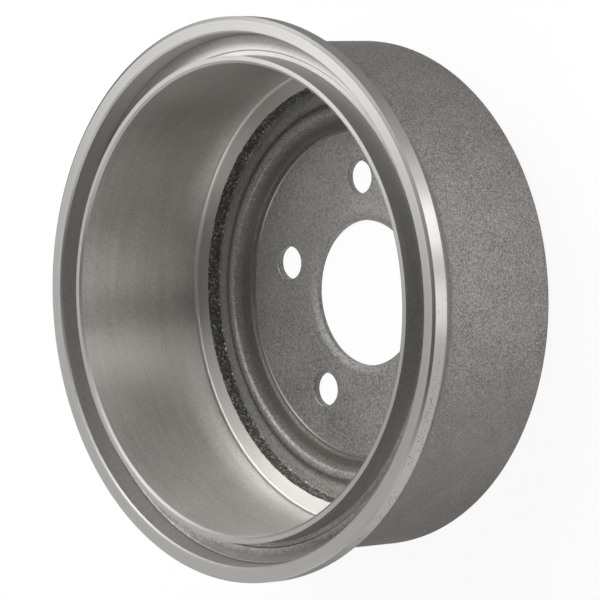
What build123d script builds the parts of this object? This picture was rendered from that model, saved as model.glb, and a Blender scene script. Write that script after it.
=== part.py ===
from math import atan2, cos, degrees, hypot, radians, sin, tan
import os

from build123d import *

# Brake drum, all sizes in millimetres.
# The drum stands on its wheel face with the mouth up: +Z leaves the mouth along the axis,
# and the origin is the centre of the wheel face, which is the lowest plane.

# Friction surface for the shoes, and the shoulder and rough pocket wall that end it.
# The drum is sized from this surface: the ring lies outside it, and the web below it.
friction_diameter = 228.6
friction_depth = 77.2
friction_end_radius = 1.6
shoulder_height = 13.3
shoulder_width = 8.9
pocket_draft = 0.5
pocket_foot_radius = 1.2

# Rim: the turned outer band and its front edge
rim_thickness = 7.65
rim_band_width = 8.2
rim_edge_width = 1.3
rim_edge_depth = 0.9

# Groove in the mouth that the edge of the backing plate runs in
groove_width = 11.4
groove_edge_chamfer = 0.8
groove_depth = 12.0
groove_draft = 1.0
groove_corner_radius = 1.0
groove_relief_width = 2.9
groove_relief_depth = 0.6

# Lip between the groove and the friction surface
lip_thickness = 3.4
lip_foot_radius = 0.5
lip_chamfer_width = 1.25
lip_chamfer_depth = 0.9

# Outside of the barrel, as cast, and the flange that carries the rim
barrel_thickness = 10.1
barrel_draft = 0.5
barrel_corner_radius = 2.6
flange_step = 2.4
flange_step_depth = 1.2
flange_edge_radius = 1.0
flange_foot_depth = 22.7
flange_foot_radius = 8.0

# Pressed web: a thin plate with one rib, which closes the end of the drum
web_thickness = 3.5
web_rim_height = 5.7
rib_inset = 14.9
rib_crown_height = 11.6
rib_radius = 3.7
rib_slope = 54.0
rib_outer_foot_height = 9.9
rib_outer_foot_radius = 0.6
valley_height = 4.0
valley_radius = 4.0

# Back of the ring, where the iron laps round the edge of the web
ring_back_inset = 2.1
ring_back_lap = 0.7
ring_back_radius = 0.3

# Hub face with its bore and lug holes
hub_face_inset = 10.0
bore_diameter = 71.7
bore_ease_width = 3.5
bore_ease_depth = 0.9
bore_ease_radius = 7.0
bolt_circle_diameter = 114.3
lug_hole_count = 5
lug_hole_diameter = 16.4
lug_hole_edge_radius = 0.7

# How much of an edge of the section the roundings at its two ends may use up together
usable_edge_share = 0.98


def tangent_length(before, corner, after, rounding):
    """How far along its two edges a rounding of this radius reaches from its corner."""
    edge_in = (before[0] - corner[0], before[1] - corner[1])
    edge_out = (after[0] - corner[0], after[1] - corner[1])
    lengths = hypot(*edge_in) * hypot(*edge_out)
    cosine = (edge_in[0] * edge_out[0] + edge_in[1] * edge_out[1]) / lengths
    return rounding * ((1 + cosine) / (1 - cosine)) ** 0.5


def rounded_section(corners):
    """A closed section in the XZ plane from corners given as (radius from axis, height, rounding).

    Roundings that would meet on one edge share it, each made smaller in the same proportion."""
    points = [(corner[0], corner[1]) for corner in corners]
    count = len(points)
    reach = [
        tangent_length(points[place - 1], points[place], points[(place + 1) % count], corners[place][2])
        for place in range(count)
    ]
    shares = [1.0] * count
    for place in range(count):
        following = (place + 1) % count
        edge = hypot(
            points[following][0] - points[place][0],
            points[following][1] - points[place][1],
        )
        taken = reach[place] + reach[following]
        if taken > usable_edge_share * edge:
            fitting = usable_edge_share * edge / taken
            shares[place] = min(shares[place], fitting)
            shares[following] = min(shares[following], fitting)
    roundings = [corner[2] * share for corner, share in zip(corners, shares)]
    return Plane.XZ * make_face(FilletPolyline(*points, radius=roundings, close=True))


def back_of(corner, slope_inside, slope_outside):
    """The corner on the web's back: one thickness below both slopes that meet at the front corner."""
    inside = (sin(radians(slope_inside)), -cos(radians(slope_inside)))
    outside = (sin(radians(slope_outside)), -cos(radians(slope_outside)))
    mitre = web_thickness / (1 + inside[0] * outside[0] + inside[1] * outside[1])
    return (
        corner[0] + mitre * (inside[0] + outside[0]),
        corner[1] + mitre * (inside[1] + outside[1]),
    )


# Radii and heights that follow from the driving sizes
overall_height = shoulder_height + friction_depth
friction_radius = friction_diameter / 2
lip_radius = friction_radius + lip_thickness
groove_radius = lip_radius + groove_width
rim_radius = groove_radius + rim_thickness
barrel_radius = friction_radius + barrel_thickness
band_back = overall_height - rim_band_width
flange_foot = overall_height - flange_foot_depth
groove_floor = overall_height - groove_depth
relief_radius = lip_radius + groove_relief_width
relief_floor = groove_floor - groove_relief_depth
pocket_radius = friction_radius - shoulder_width
pocket_foot = (pocket_radius - pocket_draft, web_rim_height)

# Front of the rib: two straight flanks that would meet at a peak, rounded off at the crown
flank_rise = tan(radians(rib_slope))
rib_peak = (
    pocket_radius - rib_inset,
    rib_crown_height + rib_radius * (1 / cos(radians(rib_slope)) - 1),
)
rib_outer_foot = (
    rib_peak[0] + (rib_peak[1] - rib_outer_foot_height) / flank_rise,
    rib_outer_foot_height,
)
valley_foot = (
    rib_peak[0] - (rib_peak[1] - valley_height) / flank_rise,
    valley_height,
)
hub_face_radius = rib_peak[0] - hub_face_inset
coined_depth = valley_height - web_thickness
bore_radius = bore_diameter / 2

# The cone from the rib out to the pocket wall, and the back of the web under it
cone_slope = degrees(
    atan2(pocket_foot[1] - rib_outer_foot[1], pocket_foot[0] - rib_outer_foot[0])
)
back_valley_foot = (valley_foot[0] + web_thickness * tan(radians(rib_slope / 2)), 0)
back_rib_peak = back_of(rib_peak, rib_slope, -rib_slope)
back_rib_foot = back_of(rib_outer_foot, -rib_slope, cone_slope)
back_rib_radius = max(rib_radius - web_thickness, rib_outer_foot_radius)
ring_back_inner = pocket_radius + ring_back_inset
web_back_edge = (
    pocket_foot[1]
    - web_thickness / cos(radians(cone_slope))
    + (ring_back_inner - pocket_foot[0]) * tan(radians(cone_slope))
)
ring_back = web_back_edge - ring_back_lap

# The whole section, once round from the back corner of the barrel
barrel = [
    (barrel_radius - barrel_draft, ring_back, barrel_corner_radius),
    (barrel_radius, flange_foot, flange_foot_radius),
]
rim = [
    (rim_radius - flange_step, band_back - flange_step_depth, flange_edge_radius),
    (rim_radius, band_back, 0),
    (rim_radius, overall_height - rim_edge_depth, 0),
    (rim_radius - rim_edge_width, overall_height, 0),
]
groove = [
    (groove_radius + groove_edge_chamfer, overall_height, 0),
    (groove_radius, overall_height - groove_edge_chamfer, 0),
    (groove_radius - groove_draft, groove_floor, groove_corner_radius),
    (relief_radius, groove_floor, 0),
    (relief_radius - groove_relief_depth, relief_floor, 0),
    (lip_radius, relief_floor, lip_foot_radius),
]
lip = [
    (lip_radius, overall_height, 0),
    (friction_radius + lip_chamfer_width, overall_height, 0),
    (friction_radius, overall_height - lip_chamfer_depth, 0),
]
pocket = [
    (friction_radius, shoulder_height, friction_end_radius),
    (pocket_radius, shoulder_height, 0),
    (*pocket_foot, pocket_foot_radius),
]
web_front = [
    (*rib_outer_foot, rib_outer_foot_radius),
    (*rib_peak, rib_radius),
    (*valley_foot, valley_radius),
    (hub_face_radius + coined_depth, valley_height, 0),
    (hub_face_radius, web_thickness, 0),
    (bore_radius + bore_ease_width, web_thickness, bore_ease_radius),
    (bore_radius, web_thickness - bore_ease_depth, 0),
]
web_back = [
    (bore_radius, 0, 0),
    (*back_valley_foot, valley_radius + web_thickness),
    (*back_rib_peak, back_rib_radius),
    (*back_rib_foot, rib_outer_foot_radius + web_thickness),
    (ring_back_inner, web_back_edge, ring_back_radius),
    (ring_back_inner, ring_back, ring_back_radius),
]
drum = revolve(rounded_section(barrel + rim + groove + lip + pocket + web_front + web_back), Axis.Z)


def lug_hole_cutter():
    """A punch with a flared shoulder, so that the hole's mouth on the hub face is eased."""
    radius = lug_hole_diameter / 2
    flare = radius + lug_hole_edge_radius
    flare_start = web_thickness - lug_hole_edge_radius
    outline = [
        Polyline((0, -web_thickness), (radius, -web_thickness), (radius, flare_start)),
        RadiusArc((radius, flare_start), (flare, web_thickness), lug_hole_edge_radius),
        Polyline((flare, web_thickness), (flare, 2 * web_thickness), (0, 2 * web_thickness)),
        Line((0, 2 * web_thickness), (0, -web_thickness)),
    ]
    return revolve(Plane.XZ * make_face(outline), Axis.Z)


punch = lug_hole_cutter()
for place in range(lug_hole_count):
    turn = 360 / lug_hole_count * place
    drum -= Rot(0, 0, turn) * Pos(bolt_circle_diameter / 2, 0, 0) * punch

os.makedirs("parts", exist_ok=True)
brake_drum = drum.solid()
export_step(brake_drum, "parts/brake_drum.step")
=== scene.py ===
import math

import bpy
from mathutils import Matrix, Vector


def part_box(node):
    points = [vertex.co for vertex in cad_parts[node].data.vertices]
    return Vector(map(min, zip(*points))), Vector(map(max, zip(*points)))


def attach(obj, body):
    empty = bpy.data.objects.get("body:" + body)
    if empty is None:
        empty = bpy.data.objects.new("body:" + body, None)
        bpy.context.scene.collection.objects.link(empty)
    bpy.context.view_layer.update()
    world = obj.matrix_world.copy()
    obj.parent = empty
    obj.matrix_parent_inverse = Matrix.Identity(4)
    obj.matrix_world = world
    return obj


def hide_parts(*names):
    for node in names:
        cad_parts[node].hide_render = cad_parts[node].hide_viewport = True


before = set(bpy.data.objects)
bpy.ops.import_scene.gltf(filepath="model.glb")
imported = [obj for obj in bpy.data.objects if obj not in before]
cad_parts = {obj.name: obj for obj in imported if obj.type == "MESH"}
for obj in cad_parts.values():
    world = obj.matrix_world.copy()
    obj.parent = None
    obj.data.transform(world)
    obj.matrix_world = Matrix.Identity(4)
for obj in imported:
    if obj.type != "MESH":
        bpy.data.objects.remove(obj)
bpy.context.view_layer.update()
MM = 0.001

# Brake drum: one piece of grey iron, a deep ring on a thin ribbed web. The ring is cast, then turned inside
# and at its mouth. Its section is drawn as a wire in the plane of the X axis, from the hub bore round the back
# to the bore again, and swept once round the axis.
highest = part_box("brake_drum")[1]
rim_radius = highest.x / MM
mouth = highest.z / MM
bore_radius = 35.85
web_thickness = 3.5
coin_radius = 81
coin_depth = 0.5
rib_radius = 90.5
web_lap_radius = 107.5
ring_back = 0.3
barrel_radius = 124.4
band_back = mouth - 8.2
chamfer_width = 1.3
chamfer_depth = 0.9
groove_edge_radius = 129.9
groove_edge_depth = 0.8
groove_floor = mouth - 12
relief_floor = groove_floor - 0.6
lip_radius = 117.7
lip_inner_radius = 115.55
lip_edge_depth = 0.9
friction_radius = 114.3
shoulder = 13.3
shoulder_rounding = 1.6
pocket_radius = 105.4
drum_steps = 720

# Longest stretch of wire on a turned face, on cast skin and on the rough pocket wall
turned = 40
skin = 3
rough = 0.9

drum_outline = [
    # Back of the web, the underside of its rib, and its edge in the ring
    (bore_radius, 0, 0, turned),
    (84.88, 0, 7.5, turned),
    (rib_radius, 8.24, 0.5, turned),
    (91.41, 6.99, 1.6, turned),
    (web_lap_radius, 0.98, 0.25, turned),
    # Back of the ring, the barrel, and the cove and step behind the band
    (web_lap_radius, ring_back, 0.25, turned),
    (barrel_radius - 0.5, ring_back, 2.6, turned),
    (barrel_radius, mouth - 22.7, 8, 2 * skin),
    (134.35, mouth - 9.4, 1, skin),
    # Band, chamfer and face of the rim
    (rim_radius, band_back, 0, skin),
    (rim_radius, mouth - chamfer_depth, 0, turned),
    (rim_radius - chamfer_width, mouth, 0, turned),
    (groove_edge_radius, mouth, 0, turned),
    # Groove for the edge of the backing plate, with its relief at the foot of the lip
    (129.1, mouth - groove_edge_depth, 0, turned),
    (128.1, groove_floor, 1, turned),
    (120.6, groove_floor, 0, turned),
    (120, relief_floor, 0, turned),
    (lip_radius, relief_floor, 0.5, turned),
    # Lip, friction surface and shoulder
    (lip_radius, mouth, 0, turned),
    (lip_inner_radius, mouth, 0, turned),
    (friction_radius, mouth - lip_edge_depth, 0, turned),
    (friction_radius, shoulder, shoulder_rounding, turned),
    (pocket_radius, shoulder, 0, turned),
    # Pocket wall, cone, rib and valley
    (pocket_radius - 0.5, 5.7, 1.2, rough),
    (93.62, 9.9, 0.55, skin),
    (rib_radius, 14.19, 3.65, skin),
    (83.09, web_thickness + coin_depth, 4, skin),
    # Coined hub face and the eased edge of the bore
    (coin_radius, web_thickness + coin_depth, 0, turned),
    (coin_radius - 0.5, web_thickness, 0, turned),
    (bore_radius + 3.5, web_thickness, 7, turned),
    (bore_radius, web_thickness - 0.9, 0, turned),
]

# Longest stretch and widest turn of wire round a corner, and the distance at which points become one
arc_stretch = 0.3 * MM
arc_turn = math.radians(15)
weld = 0.02 * MM


def draw_straight(start, end, longest):
    """Draw the wire on from start to end in equal stretches, none over the longest."""
    stretches = max(1, math.ceil((end - start).length / longest - 0.01))
    for _ in range(stretches):
        bpy.ops.mesh.extrude_region_move(TRANSFORM_OT_translate={"value": (end - start) / stretches})


def draw_rounding(start, heading, turn, rounding):
    """Draw the wire on round a corner, from the heading it comes with, by a turn in radians."""
    side = Vector((0, math.copysign(1, turn), 0)).cross(heading)
    by_turn = math.ceil(abs(turn) / arc_turn)
    by_length = math.ceil(abs(turn) * rounding / arc_stretch)
    stretches = max(2, min(by_turn, by_length))
    bpy.ops.mesh.spin(steps=stretches, angle=-turn, center=start + side * rounding, axis=(0, 1, 0))


def swept_solid(name, outline, steps):
    """A solid swept about the Z axis from a closed outline, in mm.

    Each corner is given as (radius, height, rounding, longest stretch of the wire that leads to it).
    """
    corners = [Vector((radius, 0, height)) * MM for radius, height, _, _ in outline]
    bpy.ops.object.select_all(action="DESELECT")
    bpy.ops.mesh.primitive_plane_add(size=MM, location=corners[0])
    solid = bpy.context.object
    solid.name = solid.data.name = name
    bpy.ops.object.transform_apply(location=True)
    bpy.ops.object.mode_set(mode="EDIT")
    bpy.ops.mesh.merge(type="CENTER")
    pen = corners[0]
    for place in range(1, len(corners)):
        rounding = outline[place][2] * MM
        longest = outline[place][3] * MM
        heading = (corners[place] - corners[place - 1]).normalized()
        next_heading = (corners[(place + 1) % len(corners)] - corners[place]).normalized()
        turn = math.atan2(heading.cross(next_heading).y, heading.dot(next_heading))
        reach = rounding * math.tan(abs(turn) / 2)
        draw_straight(pen, corners[place] - heading * reach, longest)
        if rounding:
            draw_rounding(corners[place] - heading * reach, heading, turn, rounding)
        pen = corners[place] + next_heading * reach
    draw_straight(pen, corners[0], outline[0][3] * MM)
    bpy.ops.mesh.select_all(action="SELECT")
    bpy.ops.mesh.remove_doubles(threshold=weld)
    bpy.ops.object.mode_set(mode="OBJECT")
    bpy.ops.object.modifier_add(type="SCREW")
    sweep = solid.modifiers[-1]
    sweep.angle = math.tau
    sweep.steps = sweep.render_steps = steps
    bpy.ops.object.modifier_apply(modifier=sweep.name)
    bpy.ops.object.mode_set(mode="EDIT")
    bpy.ops.mesh.select_all(action="SELECT")
    bpy.ops.mesh.remove_doubles(threshold=weld)
    bpy.ops.mesh.normals_make_consistent(inside=False)
    bpy.ops.object.mode_set(mode="OBJECT")
    return solid


drum = swept_solid("drum", drum_outline, drum_steps)

# The five lug holes: punched clean through the thin web, evenly round the bolt circle, for the studs of the
# wheel hub. The edge of each is eased on the hub face.
lug_holes = 5
bolt_circle_radius = 57.15
lug_hole_radius = 8.2
lug_ease = 0.7
lug_steps = 96
cut_weld = 0.003 * MM
punch_outline = [
    (0, -web_thickness, 0, turned),
    (lug_hole_radius, -web_thickness, 0, turned),
    (lug_hole_radius, web_thickness - lug_ease, 0, turned),
    (lug_hole_radius + 0.2, web_thickness - 0.2, 0.6, turned),
    (lug_hole_radius + lug_ease, web_thickness, 0, turned),
    (lug_hole_radius + lug_ease, 2 * web_thickness, 0, turned),
    (0, 2 * web_thickness, 0, turned),
]
punches = []
for place in range(lug_holes):
    punch = swept_solid("punch", punch_outline, lug_steps)
    spoke = math.tau * place / lug_holes
    punch.location = Vector((math.cos(spoke), math.sin(spoke), 0)) * bolt_circle_radius * MM
    punches.append(punch)
for punch in punches:
    punch.select_set(True)
bpy.ops.object.join()
punch = bpy.context.object
bpy.context.view_layer.objects.active = drum
bpy.ops.object.modifier_add(type="BOOLEAN")
cut = drum.modifiers[-1]
cut.object = punch
cut.solver = "EXACT"
bpy.ops.object.modifier_apply(modifier=cut.name)
bpy.data.objects.remove(punch)
bpy.ops.object.select_all(action="DESELECT")
drum.select_set(True)
bpy.ops.object.mode_set(mode="EDIT")
bpy.ops.mesh.select_all(action="SELECT")
bpy.ops.mesh.remove_doubles(threshold=cut_weld)
bpy.ops.object.mode_set(mode="OBJECT")

# Rough wall of the pocket: the edge of the web that the cutter never reached, pebbled as it left the mould.
# Where the turned shoulder runs out into it, the shoulder's inner edge is ragged, but still flat on top.
pebble_size = 2.2
pebble_height = 1.0
wall_radius = pocket_radius - 0.55
wall_lean = 0.65
wall_foot = 6.3
edge_slack = 0.1


def ring_group(name, radius, low, high, slack=edge_slack):
    """A vertex group of the drum's points at one radius, within some slack, between two heights, in mm."""
    group = drum.vertex_groups.new(name=name)
    for point in drum.data.vertices:
        off = math.hypot(point.co.x, point.co.y) / MM - radius
        if abs(off) < slack and low < point.co.z / MM < high:
            group.add([point.index], 1, "REPLACE")


def roughen(group, grain, height):
    """Push a named group of points in and out along their normals with noise: grain and height in mm."""
    clouds = bpy.data.textures.new(group, "CLOUDS")
    clouds.noise_scale = grain * MM
    clouds.noise_depth = 1
    bpy.ops.object.modifier_add(type="DISPLACE")
    push = drum.modifiers[-1]
    push.texture = clouds
    push.texture_coords = "LOCAL"
    push.vertex_group = group
    push.strength = height * MM
    bpy.ops.object.modifier_apply(modifier=push.name)


def flatten(group, height, shift=(0, 0, 0)):
    """Lay a named group of points flat at a height, shift it sideways, both in mm, and keep it sharp."""
    bpy.ops.object.mode_set(mode="EDIT")
    bpy.ops.mesh.select_all(action="DESELECT")
    drum.vertex_groups.active_index = drum.vertex_groups[group].index
    bpy.ops.object.vertex_group_select()
    bpy.ops.transform.resize(value=(1, 1, 0), center_override=(0, 0, height * MM))
    bpy.ops.transform.translate(value=Vector(shift) * MM)
    bpy.ops.mesh.mark_sharp()
    bpy.ops.object.mode_set(mode="OBJECT")


bpy.context.view_layer.objects.active = drum
ring_group("pocket_wall", wall_radius, wall_foot, shoulder + edge_slack, wall_lean)
ring_group("shoulder_edge", pocket_radius, shoulder - edge_slack, shoulder + edge_slack)
roughen("pocket_wall", pebble_size, pebble_height)
flatten("shoulder_edge", shoulder)

# Edge between the rim's face and its outer band: chamfered by hand feed in a second chucking, so that it
# runs a little off centre, wider on one side, and waves.
edge_wave = 9
edge_depth = 0.25
edge_shift = (-0.46, 0.2, 0)
ring_group("rim_edge", rim_radius - chamfer_width, mouth - edge_slack, mouth + edge_slack)
roughen("rim_edge", edge_wave, edge_depth)
flatten("rim_edge", mouth, edge_shift)

# Cast skin of the barrel and the back: grey iron from a sand mould, blasted clean, with a fine sharp grain.
# It is smoother and paler next to the band, where the flange was faced. Painted shade darkens its foot next
# to the floor, and its grain is painted with stronger contrast on one side, where the light rakes across it.
# It is the drum's first finish, which each face keeps until it is given another.
skin_dark = (0.09, 0.085, 0.08)
skin_pale = (0.38, 0.358, 0.34)
skin_glint = (0.5, 0.48, 0.46)


def set_inputs(finish, node, inputs):
    """Give a node's inputs plain values, or link them where the value is another node's output."""
    for place, value in inputs.items():
        if isinstance(value, bpy.types.NodeSocket):
            finish.node_tree.links.new(value, node.inputs[place])
        else:
            node.inputs[place].default_value = value


def add_node(finish, kind, inputs=(), **settings):
    """Add a node to a finish, with its settings and its inputs."""
    node = finish.node_tree.nodes.new("ShaderNode" + kind)
    for name, value in settings.items():
        setattr(node, name, value)
    set_inputs(finish, node, dict(inputs))
    return node


def set_look(finish, inputs):
    """Set inputs of the shader that a finish comes with."""
    set_inputs(finish, finish.node_tree.nodes["Principled BSDF"], inputs)


def new_finish(name, metallic, edge_tint=1):
    """A new finish in the drum's list, with the values that are the same all over."""
    finish = bpy.data.materials.new(name)
    finish.use_nodes = True
    set_look(finish, {"Metallic": metallic, "Specular Tint": (edge_tint, edge_tint, edge_tint, 1)})
    drum.data.materials.append(finish)
    return finish


def object_place(finish):
    """The place of a point on the drum, in metres."""
    return add_node(finish, "TexCoord").outputs["Object"]


def along(finish, axis):
    """How far a point lies along one of the drum's axes, in metres."""
    return add_node(finish, "SeparateXYZ", {0: object_place(finish)}).outputs[axis]


def combine(finish, operation, first, second):
    """Two values put together by one operation of the Math node."""
    return add_node(finish, "Math", {0: first, 1: second}, operation=operation).outputs[0]


def times(finish, first, second):
    """The product of two values."""
    return combine(finish, "MULTIPLY", first, second)


def total(finish, *parts):
    """The sum of several values, each given as (value, its share)."""
    amount = 0
    for value, share in parts:
        terms = {0: value, 1: share, 2: amount}
        amount = add_node(finish, "Math", terms, operation="MULTIPLY_ADD").outputs[0]
    return amount


def between(finish, value, low, high, at_low, at_high):
    """Carry a value that runs from low to high over to another range, and clamp it there."""
    spread = add_node(
        finish,
        "MapRange",
        {"Value": value, "From Min": low, "From Max": high, "To Min": at_low, "To Max": at_high},
    )
    return spread.outputs["Result"]


def fade(finish, place, start, end, at_start, at_end):
    """A value that changes between two places along an axis or a radius, given in mm."""
    return between(finish, place, start * MM, end * MM, at_start, at_end)


def cloud(finish, size, detail, contrast):
    """Soft noise with blots of one size in mm, from 0 to 1 about 0.5. A higher contrast makes it harder."""
    noise = add_node(
        finish,
        "TexNoise",
        {"Vector": object_place(finish), "Scale": 1 / (size * MM), "Detail": detail},
    )
    return between(finish, noise.outputs["Fac"], 0.5 - 0.5 / contrast, 0.5 + 0.5 / contrast, 0, 1)


def cells(finish, size):
    """Cells of one size in mm, with a random colour each and the distance from their middles."""
    return add_node(finish, "TexVoronoi", {"Vector": object_place(finish), "Scale": 1 / (size * MM)})


def grains(finish, size):
    """A random value from 0 to 1 for each grain of one size in mm."""
    return add_node(finish, "SeparateColor", {0: cells(finish, size).outputs["Color"]}).outputs[0]


def over(finish, share, under, colour):
    """A plain colour over whatever colour is under it, where the share is 1."""
    mix = add_node(finish, "Mix", {0: share, 6: under, 7: (*colour, 1)}, data_type="RGBA")
    return mix.outputs[2]


def two_colours(finish, share, first, second):
    """The first colour where the share is 0, and the second where it is 1."""
    return over(finish, share, (*first, 1), second)


def relief(finish, height, depth):
    """Bump of a depth in mm where the height is 1."""
    return add_node(finish, "Bump", {"Height": height, "Distance": depth * MM}).outputs["Normal"]


cast_skin = new_finish("cast_skin", 0.85, edge_tint=0.3)
height = along(cast_skin, "Z")
# Painted light: the grain's contrast rises on one side, where the light rakes across it.
painted_raking_light = fade(cast_skin, along(cast_skin, "X"), -80, -30, 0.75, 1.75)
# Painted shade: the barrel's foot next to the floor is darkened.
barrel_foot_painted_shade = fade(cast_skin, height, ring_back + 0.4, ring_back + 1.4, 1, 0)
sand = fade(cast_skin, height, mouth - 22, mouth - 15, 1, 0.12)
patches = cloud(cast_skin, 14, 3, 1.6)
speckle = total(cast_skin, (grains(cast_skin, 0.5), 0.36), (cloud(cast_skin, 0.9, 2, 2), 0.2), (1, -0.28))
shade = times(cast_skin, speckle, times(cast_skin, sand, painted_raking_light))
tone = total(cast_skin, (shade, 1), (patches, 0.16), (sand, -0.42), (barrel_foot_painted_shade, -0.5), (1, 0.78))
glint = between(cast_skin, times(cast_skin, grains(cast_skin, 0.45), sand), 0.9985, 0.999, 0, 1)
set_look(cast_skin, {
    "Base Color": over(cast_skin, glint, two_colours(cast_skin, tone, skin_dark, skin_pale), skin_glint),
    "Roughness": between(cast_skin, shade, -0.5, 0.5, 0.58, 0.42),
    "Normal": relief(cast_skin, shade, 0.35),
})

# Skin of the web: the thin plate is smoother and greyer than the barrel, with a glittering grain. Painted
# shade makes its valley inside the rib dark and brown, and darkens the slope up from the hub's step, the
# crease outside the rib and the foot of the cone. The cone outside the rib is painted paler, as painted light,
# and the hub face is darker on one side and lighter on the other.
plate_dark = (0.075, 0.073, 0.069)
plate_pale = (0.54, 0.521, 0.484)
# Painted shade: the dark brown laid over the valley.
plate_painted_shade = (0.12, 0.1, 0.08)
valley_inner = 80
valley_outer = 87
valley_edge = 1.5
crease = 94.2
cone_inner = 95.5
cone_outer = 103.2


def axis_distance(finish):
    """The distance from the drum's axis, in metres."""
    flat = add_node(finish, "VectorMath", {0: object_place(finish), 1: (1, 1, 0)}, operation="MULTIPLY")
    return add_node(finish, "VectorMath", {0: flat.outputs[0]}, operation="LENGTH").outputs["Value"]


def stretch(finish, place, rise, fall, top=1):
    """A value that rises from 0 to the top and later falls to 0: both given as (start, end) in mm."""
    risen = fade(finish, place, *rise, 0, top)
    return times(finish, risen, fade(finish, place, *fall, 1, 0))


def give_finish(finish, inner, outer, low, high):
    """Give a finish to the faces whose middle lies between two radii and two heights, in mm."""
    for face in drum.data.polygons:
        face_radius = math.hypot(face.center.x, face.center.y) / MM
        if inner < face_radius < outer and low < face.center.z / MM < high:
            face.material_index = drum.data.materials.find(finish.name)


web_skin = new_finish("web_skin", 0.4)
radius = axis_distance(web_skin)
valley_from = (valley_inner, valley_inner + valley_edge)
valley_to = (valley_outer - valley_edge, valley_outer)
# Painted shade: the valley inside the rib is darkened and browned.
valley = stretch(web_skin, radius, valley_from, valley_to)
# Painted shade on the slope up from the hub's step.
slope = stretch(web_skin, radius, (coin_radius, coin_radius + 0.4), (coin_radius + 1.5, coin_radius + 3.5))
# Painted shade in the crease outside the rib.
crease_painted_shade = stretch(web_skin, radius, (crease - 1, crease), (crease, crease + 2))
# Painted light: the cone outside the rib is paler.
cone = fade(web_skin, radius, cone_inner, cone_inner + 3, 0, 1)
# Painted shade at the foot of the cone, next to the pocket wall.
cone_foot_painted_shade = fade(web_skin, radius, cone_outer, cone_outer + 2, 0, 1)
on_hub = fade(web_skin, radius, coin_radius - 3, coin_radius + 3, 1, 0.2)
# The hub face is darker on one side and lighter on the other.
hub_side_tone = times(web_skin, on_hub, fade(web_skin, along(web_skin, "X"), -50, 40, -0.1, 0.06))
glitter = grains(web_skin, 0.54)
stain = cloud(web_skin, 25, 2, 2)
dust = total(web_skin, (glitter, 0.38), (cloud(web_skin, 1.6, 2, 2), 0.13), (stain, 0.1), (1, 0.045))
# Painted light and shade on the glitter: brighter on the cone, dimmer in the valley.
glitter_painted_light_and_shade = times(web_skin, glitter, total(web_skin, (cone, 0.4), (valley, -0.26)))
tone = total(
    web_skin,
    (dust, 1),
    (hub_side_tone, 1),
    (glitter_painted_light_and_shade, 1),
    (valley, -0.04),
    (slope, -0.16),
    (crease_painted_shade, -0.34),
    (cone, 0.22),
    (cone_foot_painted_shade, -0.75),
)
plate = two_colours(web_skin, tone, plate_dark, plate_pale)
set_look(web_skin, {
    "Base Color": over(web_skin, times(web_skin, valley, 0.3), plate, plate_painted_shade),
    "Roughness": between(web_skin, glitter, 0, 1, 0.55, 0.34),
    "Normal": relief(web_skin, glitter, 0.08),
})
give_finish(web_skin, 0, pocket_radius - 0.2, -1, shoulder - 1.4)

# Skin of the pocket wall: scale and moulding sand on the iron, which the cutter left. It is nearly black,
# with painted glints on a few grains.
scale_dark = (0.02, 0.02, 0.018)
scale_pale = (0.3, 0.292, 0.273)
painted_glint_colour = (0.6, 0.6, 0.57)
pocket_skin = new_finish("pocket_skin", 0.5)
pebbles = cloud(pocket_skin, 1.1, 2, 2)
# Painted glints on a few grains.
painted_glints = between(pocket_skin, grains(pocket_skin, 0.8), 0.87, 0.89, 0, 1)
scale = two_colours(pocket_skin, pebbles, scale_dark, scale_pale)
set_look(pocket_skin, {
    "Base Color": over(pocket_skin, painted_glints, scale, painted_glint_colour),
    "Roughness": 0.45,
    "Normal": relief(pocket_skin, pebbles, 0.3),
})
give_finish(pocket_skin, pocket_radius - 1.2, pocket_radius + 0.8, 6, shoulder - 0.1)

# Turned iron of the rim's face, the lip's top and the step round the hub face: bare and bright, with fine
# tool marks that run round the drum. The rim's face is painted paler at one side, as a painted highlight.
# The outside behind the band keeps its cast skin.


def tool_marks(finish, pitch, run):
    """Noise drawn out round the drum: marks of one pitch in mm, that change over a run given in turns."""
    flat = add_node(finish, "VectorMath", {0: object_place(finish), 1: (1, 1, 0)}, operation="MULTIPLY")
    around = add_node(finish, "VectorMath", {0: flat.outputs[0]}, operation="NORMALIZE").outputs[0]
    slow = add_node(finish, "VectorMath", {0: around, "Scale": 1 / run}, operation="SCALE").outputs[0]
    upwards = add_node(finish, "CombineXYZ", {"Z": times(finish, along(finish, "Z"), 1 / (pitch * MM))})
    drawn_out = add_node(finish, "VectorMath", {0: slow, 1: upwards.outputs[0]}, operation="ADD").outputs[0]
    outwards = times(finish, axis_distance(finish), 1 / (pitch * MM))
    noise = add_node(
        finish,
        "TexNoise",
        {"Vector": drawn_out, "W": outwards, "Scale": 1, "Detail": 2},
        noise_dimensions="4D",
    )
    return noise.outputs["Fac"]


def draw_out_gloss(finish, roughness, amount):
    """A gloss that is drawn out across tool marks that run round the drum."""
    set_look(finish, {
        "Roughness": roughness,
        "Anisotropic": amount,
        "Anisotropic Rotation": 0.25,
        "Tangent": add_node(finish, "Tangent", direction_type="RADIAL", axis="Z").outputs[0],
    })


def turned_finish(name, gloss, marks, dark, light, edge_tint=1):
    """Bare turned metal and its colour: gloss as (roughness, draw), marks as (pitch, run, depth)."""
    finish = new_finish(name, 1, edge_tint)
    draw_out_gloss(finish, *gloss)
    lines = tool_marks(finish, marks[0], marks[1])
    metal = two_colours(finish, lines, dark, light)
    set_look(finish, {"Base Color": metal, "Normal": relief(finish, lines, marks[2])})
    return finish, metal


turned_iron, metal = turned_finish(
    "turned_iron", (0.4, 0.5), (0.9, 2, 0.008), (0.31, 0.304, 0.294), (0.39, 0.383, 0.37), edge_tint=0.3
)
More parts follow.
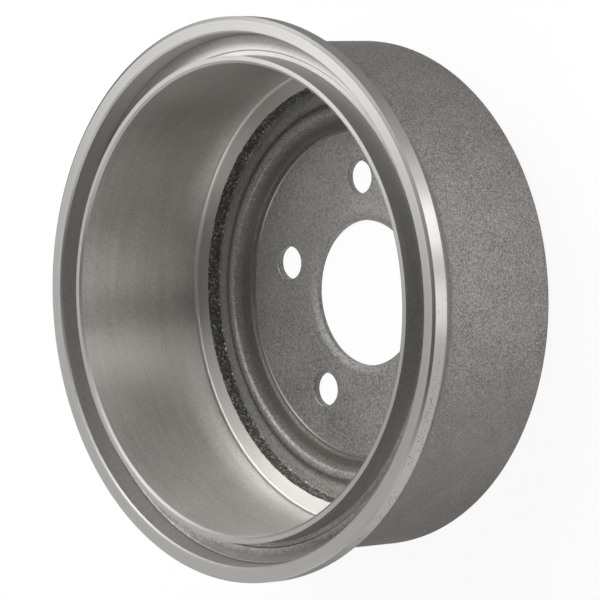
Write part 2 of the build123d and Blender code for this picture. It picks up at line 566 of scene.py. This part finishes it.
# Painted highlight: the turned faces are paler on one side.
painted_highlight = fade(turned_iron, along(turned_iron, "X"), 60, 115, 0, 0.15)
set_look(turned_iron, {"Base Color": over(turned_iron, painted_highlight, metal, (0.7, 0.69, 0.675))})
give_finish(turned_iron, coin_radius - 0.6, coin_radius + 0.1, 3.4, 4.1)
give_finish(turned_iron, friction_radius - 0.3, rim_radius + 1, groove_floor - 1, mouth + 1)
give_finish(cast_skin, barrel_radius - 1.4, rim_radius - 0.01, 0, band_back)

# Outer band of the rim: turned in the same iron but darker than the face, and pitted where the tool broke
# out small grains. Two stretches carry a painted highlight, and one carries painted shade.
pit_spacing = 1.2
band_iron, metal = turned_finish(
    "band_iron", (0.36, 0.85), (0.9, 2, 0.01), (0.33, 0.321, 0.31), (0.45, 0.438, 0.423), edge_tint=0.3
)
across = along(band_iron, "X")
wear = fade(band_iron, across, -50, 30, 1, 0.4)
# Painted highlights on two stretches of the band.
painted_highlight_below = stretch(band_iron, across, (-130, -115), (-80, -50), top=0.36)
painted_highlight_beside = stretch(band_iron, across, (28, 48), (56, 68), top=0.45)
painted_highlight = combine(band_iron, "MAXIMUM", painted_highlight_below, painted_highlight_beside)
# Painted shade on one stretch of the band.
band_painted_shade_rise = fade(band_iron, across, 66, 92, 0, 0.5)
band_painted_shade = times(band_iron, band_painted_shade_rise, fade(band_iron, across, 105, 130, 1, 0.5))
blots = between(band_iron, cloud(band_iron, 6, 1, 1), 0.34, 0.6, 0.04, 0.33)
pit_edge = cells(band_iron, pit_spacing).outputs["Distance"]
pit_depth = combine(band_iron, "SUBTRACT", times(band_iron, blots, wear), pit_edge)
pits = between(band_iron, pit_depth, 0, 0.08, 0, 1)
metal = over(band_iron, painted_highlight, metal, (0.7, 0.682, 0.66))
metal = over(band_iron, band_painted_shade, metal, (0.12, 0.114, 0.108))
set_look(band_iron, {"Base Color": over(band_iron, pits, metal, (0.15, 0.14, 0.13))})
give_finish(band_iron, rim_radius - 0.1, rim_radius + 1, band_back, mouth - chamfer_depth)

# Chamfer on the rim's outer edge: taken off the iron by hand, and the dullest of the cuts. Two stretches of
# it carry a painted highlight, as pale as the rim's face.
chamfer_iron, metal = turned_finish(
    "chamfer_iron", (0.5, 0.5), (0.9, 2, 0.006), (0.17, 0.166, 0.16), (0.23, 0.224, 0.216), edge_tint=0.3
)
across = along(chamfer_iron, "X")
# Painted highlights on two stretches of the chamfer.
painted_highlight_below = fade(chamfer_iron, across, -85, -40, 0.95, 0)
painted_highlight_above = fade(chamfer_iron, across, 115, 132, 0, 0.55)
painted_highlight = combine(chamfer_iron, "MAXIMUM", painted_highlight_below, painted_highlight_above)
set_look(chamfer_iron, {"Base Color": over(chamfer_iron, painted_highlight, metal, (0.46, 0.449, 0.434))})
give_finish(chamfer_iron, rim_radius - chamfer_width, rim_radius + 1, mouth - 0.88, mouth - 0.02)

# Broken edge of the lip, between its top and the friction surface: iron that the tool only rubbed. A
# painted highlight makes it brighter along its upper half.
edge_iron, metal = turned_finish(
    "edge_iron", (0.46, 0.5), (0.9, 2, 0.006), (0.27, 0.265, 0.255), (0.34, 0.333, 0.32), edge_tint=0.3
)
# Painted highlight along the upper half of the lip's edge.
painted_highlight = fade(edge_iron, along(edge_iron, "X"), -20, 40, 0, 0.42)
set_look(edge_iron, {"Base Color": over(edge_iron, painted_highlight, metal, (0.66, 0.645, 0.622))})
give_finish(edge_iron, friction_radius - 0.3, lip_inner_radius + 0.05, mouth - 0.88, mouth - 0.02)

# Rougher iron inside the groove, turned with a tool that chattered. Painted shade makes its walls darker
# than its floor, and a painted highlight brightens the walls on one side. The floor has painted shade on
# that side and on one short stretch, and a painted highlight on one patch.
groove_dark = (0.24, 0.233, 0.224)
groove_pale = (0.66, 0.647, 0.622)
groove_iron = new_finish("groove_iron", 0.8, edge_tint=0.3)
radius = axis_distance(groove_iron)
across = along(groove_iron, "X")
upper = fade(groove_iron, across, 0, 90, 0, 1)
wall = fade(groove_iron, along(groove_iron, "Z"), groove_floor + 0.3, groove_floor + 2, 0, 1)
inner_wall = fade(groove_iron, radius, lip_radius + 0.2, lip_radius + 1, 1, 0)
upper_wall = times(groove_iron, wall, fade(groove_iron, across, 85, 125, 0, 0.42))
floor_share = between(groove_iron, wall, 0, 1, 1, 0)
upper_floor = times(groove_iron, upper, floor_share)
far_floor = fade(groove_iron, radius, lip_radius + 3.5, lip_radius + 6.5, 0.12, -0.55)
# Painted highlight on one patch of the floor.
painted_highlight_side = fade(groove_iron, across, 85, 105, 0, 0.4)
groove_painted_highlight = times(groove_iron, painted_highlight_side, fade(groove_iron, along(groove_iron, "Y"), -30, 10, 0, 1))
# Painted shade on one short stretch of the floor.
groove_painted_shade = fade(groove_iron, across, -118, -110, -0.25, 0)
chatter = total(groove_iron, (grains(groove_iron, 0.8), 0.5), (cloud(groove_iron, 2, 2, 2), 0.3), (1, -0.4))
calm_wall = between(groove_iron, wall, 0, 1, 1, 0.45)
calm = times(groove_iron, calm_wall, total(groove_iron, (upper, -0.75), (1, 1)))
ripple = times(groove_iron, chatter, calm)
floor_fade_and_painted_light = total(groove_iron, (far_floor, 1), (groove_painted_highlight, 1), (groove_painted_shade, 1))
floor_tone = times(groove_iron, floor_share, floor_fade_and_painted_light)
# Painted shade on the walls and the lip's wall, a painted highlight on the walls of one side, and painted
# shade on the floor of that side.
sides = total(groove_iron, (wall, -0.08), (inner_wall, -0.16), (upper_wall, 1), (upper_floor, -0.1))
tone = total(groove_iron, (ripple, 1), (floor_tone, 1), (sides, 1), (1, 0.7))
set_look(groove_iron, {
    "Base Color": two_colours(groove_iron, tone, groove_dark, groove_pale),
    "Normal": relief(groove_iron, ripple, 0.03),
})
draw_out_gloss(groove_iron, 0.5, 0.6)
give_finish(groove_iron, lip_radius - 0.1, 129, groove_floor - 1, mouth - 1)

# Friction surface: the iron is ground, with faint marks round the bore and a fine grain. It is mottled and
# streaked where the linings have rubbed. A painted highlight brightens one stretch, a painted shadow band
# runs beside it, and painted shade makes it dimmer deep down on one side.
ground_iron, metal = turned_finish(
    "ground_iron", (0.36, 0.95), (1.1, 0.5, 0.005), (0.74, 0.713, 0.683), (0.9, 0.867, 0.83)
)
across = along(ground_iron, "X")
fine = total(ground_iron, (grains(ground_iron, 0.6), 0.45), (cloud(ground_iron, 1.1, 3, 2), 0.3))
# Painted highlight on one stretch of the friction surface.
ground_painted_highlight = stretch(ground_iron, across, (-60, -35), (5, 35))
# Painted shade: a darker band beside the painted highlight.
shade = stretch(ground_iron, across, (-14, -3), (3, 14))
mottle_and_painted_light = total(
    ground_iron,
    (fine, 1),
    (cloud(ground_iron, 24, 2, 2), 0.3),
    (tool_marks(ground_iron, 5, 0.6), 0.55),
    (ground_painted_highlight, -0.36),
    (shade, 0.55),
    (1, -0.36),
)
metal = over(ground_iron, mottle_and_painted_light, metal, (0.5, 0.482, 0.461))
# Painted shade: deeper down on one side, the surface is dimmer.
painted_shade_side = fade(ground_iron, across, 85, 112, 0, 0.5)
ground_painted_shade_deep = times(ground_iron, painted_shade_side, fade(ground_iron, along(ground_iron, "Z"), 35, 75, 0.15, 1))
set_look(ground_iron, {"Base Color": over(ground_iron, ground_painted_shade_deep, metal, (0.3, 0.287, 0.27))})
give_finish(ground_iron, friction_radius - 0.5, friction_radius + 0.1, shoulder + 0.45, mouth - 1)

# Shoulder that ends the friction surface: turned from the same iron, where the tool was fed across. It is the
# brightest of the cuts.
shoulder_iron, _ = turned_finish(
    "shoulder_iron", (0.46, 0.5), (0.7, 2, 0.006), (0.59, 0.578, 0.556), (0.71, 0.696, 0.67)
)
give_finish(shoulder_iron, pocket_radius - 0.8, friction_radius, shoulder - 0.1, shoulder + 0.45)

# The small radius at the shoulder and the groove's outer edge: iron burnished where the tool's nose turned
# round. A painted highlight makes the shoulder's radius paler along its upper half.
radius_iron, metal = turned_finish(
    "radius_iron", (0.44, 0.5), (0.9, 2, 0.004), (0.46, 0.45, 0.436), (0.54, 0.528, 0.511), edge_tint=0.6
)
# Painted highlight along the upper half of the shoulder's radius.
half = fade(radius_iron, along(radius_iron, "X"), -35, 25, 0, 0.6)
inside = fade(radius_iron, axis_distance(radius_iron), friction_radius + 1, lip_radius + 1, 1, 0)
painted_highlight = times(radius_iron, half, inside)
set_look(radius_iron, {"Base Color": over(radius_iron, painted_highlight, metal, (0.9, 0.876, 0.845))})
give_finish(radius_iron, friction_radius - 1.65, friction_radius - 0.02, shoulder + 0.01, shoulder + 1.6)
give_finish(radius_iron, 129, groove_edge_radius + 0.1, mouth - 0.78, mouth - 0.02)

# The finished drum: its surface is shaded smooth but for its turned edges, and it takes the place of the plain
# casting in the frame, which has no part that moves.
smooth_below = math.radians(20)
bpy.ops.object.shade_smooth_by_angle(angle=smooth_below)
bpy.ops.object.modifier_add(type="WEIGHTED_NORMAL")
shading = drum.modifiers[-1]
shading.keep_sharp = True
bpy.ops.object.modifier_apply(modifier=shading.name)
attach(drum, "root")
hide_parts("brake_drum")

# Floor: a wide sheet on which the drum rests on its wheel face. It is plain and white where the camera or a
# reflection sees it, apart from the drum's faint shadow.
floor_white = (0.9, 0.9, 0.9, 1)
floor_glow = 0.92
bpy.ops.object.select_all(action="DESELECT")
bpy.ops.mesh.primitive_plane_add(size=12, location=(0, 0, 0))
floor = bpy.context.object
floor.name = "floor"
floor_paint = bpy.data.materials.new("floor_paint")
floor_paint.use_nodes = True
set_look(floor_paint, {"Base Color": floor_white, "Roughness": 0.9, "Specular IOR Level": 0})


def seen_by(finish, *rays):
    """1 where one of these kinds of ray meets the finish, and 0 elsewhere."""
    path = add_node(finish, "LightPath")
    seen = path.outputs[rays[0]]
    for ray in rays[1:]:
        seen = combine(finish, "MAXIMUM", seen, path.outputs[ray])
    return seen


glow = add_node(floor_paint, "Emission", {"Strength": 1})
seen = seen_by(floor_paint, "Is Glossy Ray", "Is Transmission Ray", "Is Camera Ray")
diffuse = floor_paint.node_tree.nodes["Principled BSDF"].outputs[0]
sheet = {0: times(floor_paint, seen, floor_glow), 1: diffuse, 2: glow.outputs[0]}
surface = add_node(floor_paint, "MixShader", sheet).outputs[0]
set_inputs(floor_paint, floor_paint.node_tree.nodes["Material Output"], {"Surface": surface})
floor.data.materials.append(floor_paint)

# Studio: a white background, which reflections see up to a low edge. It lights nothing by itself, so that
# the lamps alone shape the metal.
world = bpy.data.worlds.new("studio")
bpy.context.scene.world = world
world.use_nodes = True
rise = add_node(world, "SeparateXYZ", {0: add_node(world, "TexCoord").outputs["Generated"]}).outputs["Z"]
low = between(world, rise, 0.14, 0.22, 1, 0)
reflected = times(world, seen_by(world, "Is Glossy Ray", "Is Transmission Ray"), low)
white = combine(world, "MAXIMUM", seen_by(world, "Is Camera Ray"), reflected)
set_inputs(world, world.node_tree.nodes["Background"], {"Color": (1, 1, 1, 1), "Strength": white})

# Lamps: soft panels round the drum, each with its direction, distance, width and height in degrees, and
# strength. The key stands high on the upper left, and two strips lie low beside the barrel.
lamp_aim = Vector((0, 0, 0.045))
lamps = [
    ("key", 38, 50, 1.6, 30, 30, 5.9),
    ("key_low", 55, 33, 1.6, 24, 24, 1.9),
    ("top_up", 0, 68, 1.6, 28, 28, 5.2),
    ("top_left", 60, 66, 1.6, 24, 24, 2.6),
    ("up", 2, 38, 1.6, 26, 26, 3),
    ("up_left", 22, 16, 1.6, 26, 16, 0.4),
    ("left", 80, 36, 1.6, 22, 22, 2.9),
    ("left_high", 110, 48, 1.6, 26, 26, 1.1),
    ("left_low", 118, 10, 1.6, 30, 20, 0.4),
    ("down_left", 150, 24, 1.6, 36, 30, 1.4),
    ("down_high", 190, 50, 1.6, 34, 34, 2),
    ("right", 292, 18, 1.6, 14, 12, 3.3),
    ("strip_right", 289, 0, 0.55, 16, 9, 26),
    ("strip_down", 265, 0, 0.55, 16, 9, 17),
    ("strip_far", 240, 0, 0.55, 20, 9, 2),
]
for name, azimuth, elevation, reach, width, high, radiance in lamps:
    turn = math.radians(azimuth)
    rise = math.radians(elevation)
    outwards = Vector((math.cos(rise) * math.cos(turn), math.cos(rise) * math.sin(turn), math.sin(rise)))
    bpy.ops.object.light_add(type="AREA", location=lamp_aim + outwards * reach)
    lamp = bpy.context.object
    lamp.name = "lamp_" + name
    lamp.rotation_mode = "QUATERNION"
    lamp.rotation_quaternion = outwards.to_track_quat("Z", "Y")
    lamp.data.shape = "ELLIPSE" if width == high else "RECTANGLE"
    lamp.data.size = reach * math.radians(width)
    lamp.data.size_y = reach * math.radians(high)
    area = lamp.data.size * lamp.data.size_y * (math.pi / 4 if width == high else 1)
    lamp.data.energy = radiance * math.pi * area
    lamp.visible_camera = False

# Camera: it looks down on the drum at the photograph's angle, through a long lens. It lies on its side, so
# that the drum's mouth faces left.
camera_azimuth = math.radians(-90.449)
camera_elevation = math.radians(42.954)
camera_roll = math.radians(-93.266)
camera_distance = 2.794
aim = Vector((-0.00184, -0.02099, 0.06794))
back = Vector((
    math.cos(camera_elevation) * math.cos(camera_azimuth),
    math.cos(camera_elevation) * math.sin(camera_azimuth),
    math.sin(camera_elevation),
))
bpy.ops.object.camera_add(location=aim + back * camera_distance)
camera = bpy.context.object
camera.rotation_mode = "QUATERNION"
rolled = Matrix.Rotation(camera_roll, 3, "Z").to_quaternion()
camera.rotation_quaternion = back.to_track_quat("Z", "Y") @ rolled
camera.data.sensor_width = 36
camera.data.lens = 347.8
camera.data.clip_end = 30
bpy.context.scene.camera = camera
bpy.context.scene.view_settings.view_transform = "Standard"
